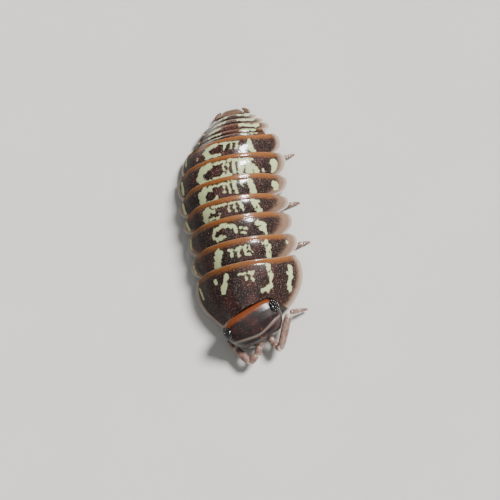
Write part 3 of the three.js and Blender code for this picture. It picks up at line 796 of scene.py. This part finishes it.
# The joints of each antenna, from the head outwards
PEDUNCLES = {
    "left": [(6.3, 0.48, 0.86), (6.58, 0.58, 0.8), (6.8, 0.7, 0.84), (6.92, 0.88, 0.96), (5.45, 1.55, 1.02)],
    "right": [
        (6.32, 0.08, 0.94), (6.62, -0.06, 0.88), (6.98, -0.28, 0.84), (7.24, -0.66, 0.8), (6.5, -1.19, 0.7),
    ],
}
FLAGELLA = {
    "left": [(5.39, 1.64, 0.95), (5.35, 1.98, 0.64), (5.31, 2.36, 0.26)],
    "right": [(6.42, -1.26, 0.64), (6.2, -1.41, 0.46), (5.95, -1.56, 0.2)],
}
PEDUNCLE_RADII = (0.13, 0.15, 0.15, 0.165, 0.17)
FLAGELLUM_RADII = (0.115, 0.1, 0.045)

# Each leg: how far its tip is forward of its root, and how far out in half widths of the body
LEG_REACH = (
    {"left": (0.62, 0.84), "right": (0.4, 0.8)}, {"left": (-0.23, 1.22), "right": (0.55, 0.8)},
    {"left": (0.34, 0.84), "right": (0.1, 0.84)}, {"left": (-0.06, 1.19), "right": (0.1, 0.8)},
    {"left": (-0.3, 0.84), "right": (-0.1, 0.84)}, {"left": (-0.42, 1.18), "right": (-0.4, 0.8)},
    {"left": (-0.45, 0.84), "right": (-0.3, 0.8)},
)
LEG_RADII = (0.17, 0.17, 0.15, 0.13, 0.1, 0.03)
# Where the legs come out of the belly, as a share of each segment, and the width and height of their knees
FIRST_LEG_SHARE, LEG_SHARE = 0.66, 0.5
KNEE_SPAN, KNEE_HEIGHT = 0.54, 0.45


def leg_path(number, side, reach, out):
    """The joints of a leg from its root in the belly, down past the knee and out to its tip on the floor."""
    front, hoop = HOOPS[NAMES[number - 1]], HOOPS[NAMES[number]]
    root = front[0] + (hoop[0] - front[0]) * (FIRST_LEG_SHARE if number == 1 else LEG_SHARE)
    start = TIP_HEIGHT + 0.4 * (hoop[2] - TIP_HEIGHT) - 0.22
    joints = (
        (0, 0.53, start), (0.1, 0.48, start + (KNEE_HEIGHT - start) * 0.6), (0.3, KNEE_SPAN, 0.42),
        (0.6, KNEE_SPAN + (out - KNEE_SPAN) * 0.4, 0.26), (0.85, KNEE_SPAN + (out - KNEE_SPAN) * 0.8, 0.16),
        (1, out, 0.03),
    )
    return [(root + share * reach, hoop[1] + side * span * hoop[3], z) for share, span, z in joints]


# The under side's section from one side to the middle: share of the half width, share of the height
UNDER = [(0.68, 0.34), (0.6, 0.4), (0.5, 0.36), (0.42, 0.31), (0.2, 0.25), (0, 0.235)]
BELLY_FOLD = 0.06
BELLY_THICK = 0.06
GILL_PAIRS = 5


def build_belly():
    """The soft under side: one skin from the neck to the tail, swelling a little in each segment."""
    half = np.array(UNDER)
    profile = np.concatenate([half * (-1, 1), half[-2::-1]])
    share = np.linspace(0, len(profile) - 1, 81)
    across = np.interp(share, range(len(profile)), profile[:, 0])
    up = np.interp(share, range(len(profile)), profile[:, 1])
    rows = []
    for number in range(1, len(NAMES)):
        for t in np.linspace(0, 1, 24 if number <= TRUNK_PLATES else 8, endpoint=False):
            row = hoop_points(number, t, across, up)
            row[:, 2] -= BELLY_FOLD * (1 - (2 * t - 1) ** 8)
            rows.append(row)
    grid = np.array(rows)
    points, faces = shell(grid, -BELLY_THICK)
    make_piece("belly_skin", points, faces, "belly")


def build_pleopods():
    """Flat gill plates in pairs under the tail, each a little lower at its hind edge."""
    ball, ball_faces = unit_ball(36, 16)
    for number in range(1, GILL_PAIRS + 1):
        x, y, z, half = HOOPS[NAMES[TRUNK_PLATES + number]][:4]
        belly = TIP_HEIGHT + UNDER[-1][1] * (z - TIP_HEIGHT)
        lobe = ball * (0.3, 0.24 * half, 0.05)
        lobe[:, 2] += 0.25 * lobe[:, 0]
        parts = []
        for side in (1, -1):
            centre = (x + 0.28 - 0.05 * number, y + side * 0.25 * half, belly - 0.2 - 0.02 * number)
            parts.append((lobe + centre, ball_faces, np.zeros(len(ball))))
        points, faces, _ = join(parts)
        make_piece(f"gill_plates_{number}", points + SHIFT, faces, "belly", f"pleopods_{number}")


DOME_THICK = 0.07
DOME_RINGS = 14


def dome(outline, level, rise):
    """A shallow domed plate over an outline of (x, y) points, closed by a flat under side."""
    outline = np.array(outline, float)
    centre = outline.mean(axis=0)
    rings = [np.column_stack([outline, level(outline[:, 0]) - DOME_THICK])]
    for s in np.linspace(1, 0.05, DOME_RINGS):
        ring = centre + (outline - centre) * s
        rings.append(np.column_stack([ring, level(ring[:, 0]) + rise * math.sqrt(1 - s ** 3)]))
    points = np.concatenate([*rings, [rings[0].mean(axis=0)], [rings[-1].mean(axis=0)]])
    return points, wrapped_faces(len(rings), len(outline))


def smooth_outline(points, steps=8):
    """Rounds a closed outline by a Catmull-Rom curve through its points."""
    points = np.array(points, float)
    out = []
    for i in range(len(points)):
        a, b, c, d = (points[(i + k) % len(points)] for k in (-1, 0, 1, 2))
        for t in np.linspace(0, 1, steps, endpoint=False):
            bend = (2 * a - 5 * b + 4 * c - d) * t * t + (3 * b - a - 3 * c + d) * t ** 3
            out.append(0.5 * (2 * b + (c - a) * t + bend))
    return out


# Half of the telson's outline and a uropod's outline, from the last plate's crest and from its middle
TELSON = ((-0.06, 0.58), (-0.2, 0.5), (-0.34, 0.36), (-0.38, 0.15))
UROPOD = (
    (-0.1, 0.64), (-0.08, 0.84), (-0.2, 0.83), (-0.31, 0.74), (-0.39, 0.6), (-0.38, 0.48), (-0.24, 0.55),
)
# Height at the last plate's crest, slope and rise of each
TELSON_HEIGHT, TELSON_SLOPE, TELSON_RISE = 0.68, 0.6, 0.14
UROPOD_HEIGHT, UROPOD_SLOPE, UROPOD_RISE = 0.46, 0.35, 0.08
# The tail's end pieces are plain: no mark, far from a rim, partly clear
TAIL_FIELDS = {"mark": FAR, "behind": 1.0, "edge": 1.0, "clear": 0.45, "shine": 0.5}


def tail_piece(name, outline, height, slope, rise, node):
    x = HOOPS["pleonite_5"][0]
    points, faces = dome(outline, lambda px: height + (px - x) * slope, rise)
    fields = {key: np.full(len(points), value) for key, value in TAIL_FIELDS.items()}
    make_piece(name, points + SHIFT, faces, "plate", node, fields)


def build_tail_end():
    x, y = HOOPS["pleonite_5"][:2]
    half = [(x + dx, y + dy) for dx, dy in TELSON]
    outline = smooth_outline(half + [(px, 2 * y - py) for px, py in half[::-1]])
    tail_piece("telson_shield", outline, TELSON_HEIGHT, TELSON_SLOPE, TELSON_RISE, "telson")
    for side, label in ((1, "left"), (-1, "right")):
        outline = smooth_outline([(x + dx, y + side * dy) for dx, dy in UROPOD])
        shape = UROPOD_HEIGHT, UROPOD_SLOPE, UROPOD_RISE
        tail_piece(f"uropod_plate_{label}", outline, *shape, f"uropod_{label}")


def build_mouth():
    """Two blunt jaws and two feelers beside them, pointing down."""
    parts = []
    for side in (1, -1):
        root = np.array([0.84, side * 0.16, 0.66])
        parts.append(article(root, root + (-0.1, -side * 0.04, -0.38), 0.2, 0.09, 0.2, 24))
        palp = root + (-0.16, side * 0.16, 0)
        parts.append(article(palp, palp + (0.0, -side * 0.12, -0.36), 0.12, 0.06, 0.1, 20))
    points, faces, joint = join(parts)
    points, fields = head_frame(points), {"joint": joint * 0.5}
    make_piece("mouthparts_pair", points, faces, "limb", "mouthparts", fields)


# The photograph's view: image pixels per millimetre, and where the body's own zero point falls in it
IMAGE_SIZE = 500
PIXELS_PER_MM = 21.85
ZERO_PIXEL = (236.8, 209.1)
VIEW_YAW, VIEW_PITCH, VIEW_ROLL = (math.radians(a) for a in (11.1, 10.7, 7.0))
# From how far the camera looks, at which height over the zero point, and its sensor and clipping
CAMERA_DISTANCE = 120.0
VIEW_DEPTH = 1.6
SENSOR = 36.0
NEAREST, FARTHEST = 0.005, 5.0
# Where each light comes from, and how wide it is in degrees
FLASH_FROM, FLASH_WIDTH = (-0.24, 0.6, 0.78), 15
FILL_FROM, FILL_WIDTH = (0.4, 0.1, 0.9), 70


def view_axes():
    """Right, up and towards-camera directions of the photograph."""
    level = math.cos(VIEW_ROLL)
    back = Vector((math.sin(VIEW_PITCH) * level, math.sin(VIEW_ROLL), math.cos(VIEW_PITCH) * level))
    tailwards = Vector((-1, 0, 0)) + back * back.x
    tailwards.normalize()
    side = tailwards.cross(back)
    c, s = math.cos(VIEW_YAW), math.sin(VIEW_YAW)
    return side * c - tailwards * s, tailwards * c + side * s, back


def build_stage(sizes):
    bpy.ops.mesh.primitive_plane_add(size=sizes.floor_size)
    floor = bpy.context.object
    floor.name = "floor"
    floor.data.materials.append(finish_named("floor"))
    right, up, back = view_axes()
    middle = IMAGE_SIZE / 2
    target = (right * (middle - ZERO_PIXEL[0]) + up * (ZERO_PIXEL[1] - middle)) / PIXELS_PER_MM
    target += back * VIEW_DEPTH + Vector(SHIFT)
    camera = bpy.data.objects.new("camera", bpy.data.cameras.new("camera"))
    bpy.context.scene.collection.objects.link(camera)
    camera.data.sensor_width = SENSOR
    camera.data.lens = SENSOR * CAMERA_DISTANCE / (IMAGE_SIZE / PIXELS_PER_MM)
    camera.data.clip_start, camera.data.clip_end = NEAREST, FARTHEST
    turned = Matrix((right, up, back)).transposed().to_4x4()
    camera.matrix_world = Matrix.Translation((target + back * CAMERA_DISTANCE) * MM) @ turned
    bpy.context.scene.camera = camera
    for name, towards, strength, spread in (
        ("flash", FLASH_FROM, sizes.flash_strength, FLASH_WIDTH),
        ("softbox", FILL_FROM, sizes.fill_strength, FILL_WIDTH),
    ):
        light = bpy.data.objects.new(name, bpy.data.lights.new(name, "SUN"))
        light.data.energy = strength
        light.data.angle = math.radians(spread)
        light.rotation_mode = "QUATERNION"
        light.rotation_quaternion = Vector(towards).to_track_quat("Z", "Y")
        bpy.context.scene.collection.objects.link(light)
    world = bpy.data.worlds.new("studio")
    bpy.context.scene.world = world
    world.use_nodes = True
    room = bpy.context.scene.woodlouse_colours.room
    background = world.node_tree.nodes["Background"]
    feed(world.node_tree, background, {"Color": room, "Strength": sizes.room_strength})


def colour_property(name, description, code):
    """A colour from its sRGB hex code."""
    return bpy.props.FloatVectorProperty(
        name=name, description=description, default=hex_linear(code), size=4, subtype="COLOR", min=0, max=1,
    )


def strength_property(name, description, value):
    """The strength of a light, from none upwards."""
    return bpy.props.FloatProperty(
        name=name, description=description, default=value, min=0, soft_max=20, subtype="FACTOR",
    )


class WoodlouseColours(bpy.types.PropertyGroup):
    """Colours of the animal and of the stage."""
    ground: colour_property("Ground", "Darkest colour of the plates", "#190d0c")
    chestnut: colour_property("Chestnut", "Redder parts of the plates", "#381b19")
    fleck: colour_property("Fleck", "Fine paler flecks on the plates", "#6a4c40")
    # This colour is a painted glint on the top of each granule
    painted_glint: colour_property("Speck", "Tops of the granules", "#917869")
    rust: colour_property("Rust", "Band before each hind rim", "#6b3312")
    rust_light: colour_property("Light rust", "Lighter grains of the band", "#94602c")
    pale: colour_property("Pale mark", "Greenish-yellow marks", "#9fac76")
    pale_light: colour_property("Light mark", "Lighter grains of the marks", "#c6cc9c")
    horn: colour_property("Horn", "Clear brown side lobes", "#694a39")
    horn_light: colour_property("Light horn", "Lighter grains of the side lobes", "#8d745f")
    horn_pale: colour_property("Pale horn", "Side lobes near their edge", "#a5968a")
    clear_rim: colour_property("Clear rim", "See-through hind rim", "#8a7464")
    pale_rim: colour_property("Pale rim", "Whitish edge of the side lobes", "#ece2d4")
    eye: colour_property("Eye", "Eye pigment", "#050404")
    eye_light: colour_property("Eye sheen", "Paler eye pigment", "#14100e")
    limb: colour_property("Limb", "Legs and feelers", "#866b60")
    limb_dark: colour_property("Dark limb", "Darker patches of the limbs", "#6b4f45")
    limb_light: colour_property("Joint", "Pale joints and tips", "#c2ad9d")
    belly: colour_property("Belly", "Under side", "#cbbfa9")
    belly_dark: colour_property("Belly shade", "Darker clouds of the under side", "#a08f78")
    board: colour_property("Floor", "Painted floor", "#cfccc5")
    board_light: colour_property("Light floor", "Lighter clouds of the floor", "#d6d3cc")
    room: colour_property("Room", "Even light all round", "#dfe3e8")


class WoodlouseSizes(bpy.types.PropertyGroup):
    """Sizes and light of the scene."""
    floor_size: bpy.props.FloatProperty(
        name="Floor", description="Side of the pale floor", default=0.6, unit="LENGTH",
    )
    flash_strength: strength_property("Flash", "Hard light from above the left side", 7.0)
    fill_strength: strength_property("Fill", "Soft light from above", 0.4)
    room_strength: strength_property("Room", "Even light all round", 0.22)
    seed: bpy.props.IntProperty(
        name="Seed", description="Where the bristles grow", default=7, min=0, subtype="UNSIGNED",
    )


class WOODLOUSE_OT_plates(bpy.types.Operator):
    """Body plates, from the one behind the head to the tail"""
    bl_idname = "woodlouse.plates"
    bl_label = "Body plates"

    def execute(self, context):
        for number in range(1, len(NAMES)):
            build_plate(number)
        return {"FINISHED"}


class WOODLOUSE_OT_head(bpy.types.Operator):
    """Head and mouthparts"""
    bl_idname = "woodlouse.head"
    bl_label = "Head"

    def execute(self, context):
        build_head()
        build_mouth()
        return {"FINISHED"}


class WOODLOUSE_OT_eyes(bpy.types.Operator):
    """Both eyes with their facets"""
    bl_idname = "woodlouse.eyes"
    bl_label = "Eyes"

    def execute(self, context):
        build_eye(1, "left")
        build_eye(-1, "right")
        return {"FINISHED"}


class WOODLOUSE_OT_antennae(bpy.types.Operator):
    """Both antennae, each a stem and a flagellum"""
    bl_idname = "woodlouse.antennae"
    bl_label = "Antennae"

    def execute(self, context):
        rng = np.random.default_rng(context.scene.woodlouse_sizes.seed)
        for side in ("left", "right"):
            for name, paths, radii, node in (
                ("feeler_stem", PEDUNCLES, PEDUNCLE_RADII, "peduncle"),
                ("feeler_whip", FLAGELLA, FLAGELLUM_RADII, "flagellum"),
            ):
                node = f"antenna_{side}_{node}"
                jointed_limb(f"{name}_{side}", paths[side], radii, node, rng, FEELER_BRISTLES)
        return {"FINISHED"}


class WOODLOUSE_OT_legs(bpy.types.Operator):
    """Seven pairs of legs"""
    bl_idname = "woodlouse.legs"
    bl_label = "Legs"

    def execute(self, context):
        rng = np.random.default_rng(context.scene.woodlouse_sizes.seed + 1)
        for number in range(1, TRUNK_PLATES + 1):
            for label, side in (("left", 1), ("right", -1)):
                reach, out = LEG_REACH[number - 1][label]
                path = leg_path(number, side, reach, out)
                name, node = f"walking_leg_{label}_{number}", f"leg_{label}_{number}"
                jointed_limb(name, path, LEG_RADII, node, rng, LEG_BRISTLES)
        return {"FINISHED"}


class WOODLOUSE_OT_underside(bpy.types.Operator):
    """Belly skin and gill plates"""
    bl_idname = "woodlouse.underside"
    bl_label = "Under side"

    def execute(self, context):
        build_belly()
        build_pleopods()
        return {"FINISHED"}


class WOODLOUSE_OT_tail(bpy.types.Operator):
    """Telson and uropods"""
    bl_idname = "woodlouse.tail"
    bl_label = "Tail end"

    def execute(self, context):
        build_tail_end()
        return {"FINISHED"}


class WOODLOUSE_OT_stage(bpy.types.Operator):
    """Floor, camera and studio light"""
    bl_idname = "woodlouse.stage"
    bl_label = "Stage"

    def execute(self, context):
        build_stage(context.scene.woodlouse_sizes)
        return {"FINISHED"}


class WOODLOUSE_PT_panel(bpy.types.Panel):
    """Lists the steps in the sidebar"""
    bl_idname = "WOODLOUSE_PT_panel"
    bl_label = "Woodlouse"
    bl_space_type = "VIEW_3D"
    bl_region_type = "UI"
    bl_category = "Woodlouse"

    def draw(self, context):
        for step in STEPS:
            self.layout.operator(f"woodlouse.{step}")


STEPS = ("plates", "head", "eyes", "antennae", "legs", "underside", "tail", "stage")
CLASSES = (
    WoodlouseColours, WoodlouseSizes, WOODLOUSE_OT_plates, WOODLOUSE_OT_head, WOODLOUSE_OT_eyes,
    WOODLOUSE_OT_antennae, WOODLOUSE_OT_legs, WOODLOUSE_OT_underside, WOODLOUSE_OT_tail,
    WOODLOUSE_OT_stage, WOODLOUSE_PT_panel,
)


def register():
    for cls in CLASSES:
        bpy.utils.register_class(cls)
    bpy.types.Scene.woodlouse_colours = bpy.props.PointerProperty(type=WoodlouseColours)
    bpy.types.Scene.woodlouse_sizes = bpy.props.PointerProperty(type=WoodlouseSizes)


def unregister():
    del bpy.types.Scene.woodlouse_sizes
    del bpy.types.Scene.woodlouse_colours
    for cls in reversed(CLASSES):
        bpy.utils.unregister_class(cls)


def main():
    register()
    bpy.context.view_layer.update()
    for step in STEPS:
        getattr(bpy.ops.woodlouse, step)()


if __name__ == "__main__":
    main()
